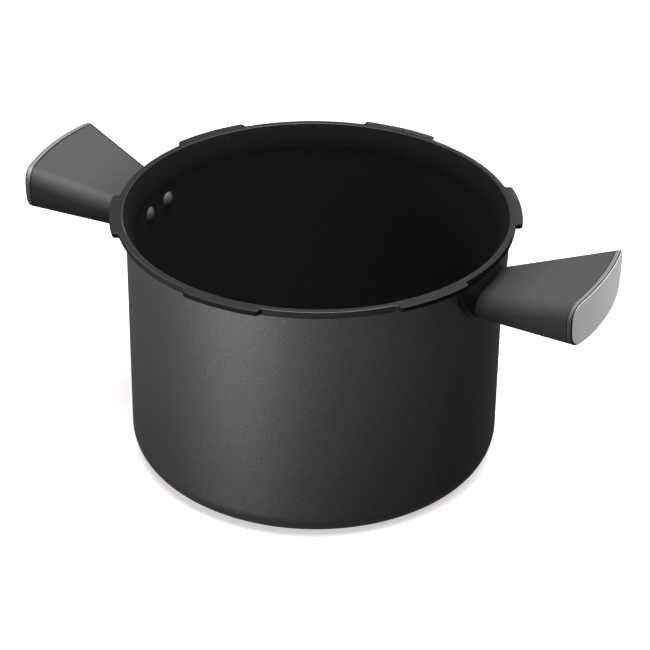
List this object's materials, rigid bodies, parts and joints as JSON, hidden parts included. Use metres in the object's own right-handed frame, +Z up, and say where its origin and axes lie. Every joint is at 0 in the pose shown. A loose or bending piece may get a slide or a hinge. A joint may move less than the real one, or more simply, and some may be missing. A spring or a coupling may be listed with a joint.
{
  "type": "pressure cooker body",
  "caption": "Open aluminium pressure cooker body with a bayonet-lugged rim, an induction base disc and two flared side handles riveted to the wall.",
  "frame": {"origin": "centre of the underside of the base", "axes": "+Z up along the pan's axis, +X along the two handles, +Y across them"},
  "size_m": [0.3674, 0.2464, 0.1628],
  "materials": {
    "coated_aluminium": "satin dark grey coating, black non-stick inside",
    "steel": "brushed",
    "cast_aluminium": "as cast",
    "rivet_metal": "satin, coated with the pan",
    "black_plastic": "black, fine satin",
    "grip_plastic": "soft matte grey",
    "cap_plastic": "satin metallic grey",
    "plate_metal": "fine satin"
  },
  "bodies": {
    "root": {"pot_body": "coated_aluminium", "base_disc": "steel", "right_bracket": "cast_aluminium", "left_bracket": "cast_aluminium", "right_rivets": "rivet_metal", "left_rivets": "rivet_metal", "right_heat_shield": "black_plastic", "left_heat_shield": "black_plastic", "right_grip": "grip_plastic", "left_grip": "grip_plastic", "right_plain_washer": "steel", "left_plain_washer": "steel", "right_spring_washer": "steel", "left_spring_washer": "steel", "right_clamp_screw": "steel", "left_clamp_screw": "steel", "right_end_cap": "cap_plastic", "left_end_cap": "cap_plastic", "right_end_plate": "plate_metal", "left_end_plate": "plate_metal"}
  },
  "joints": []
}
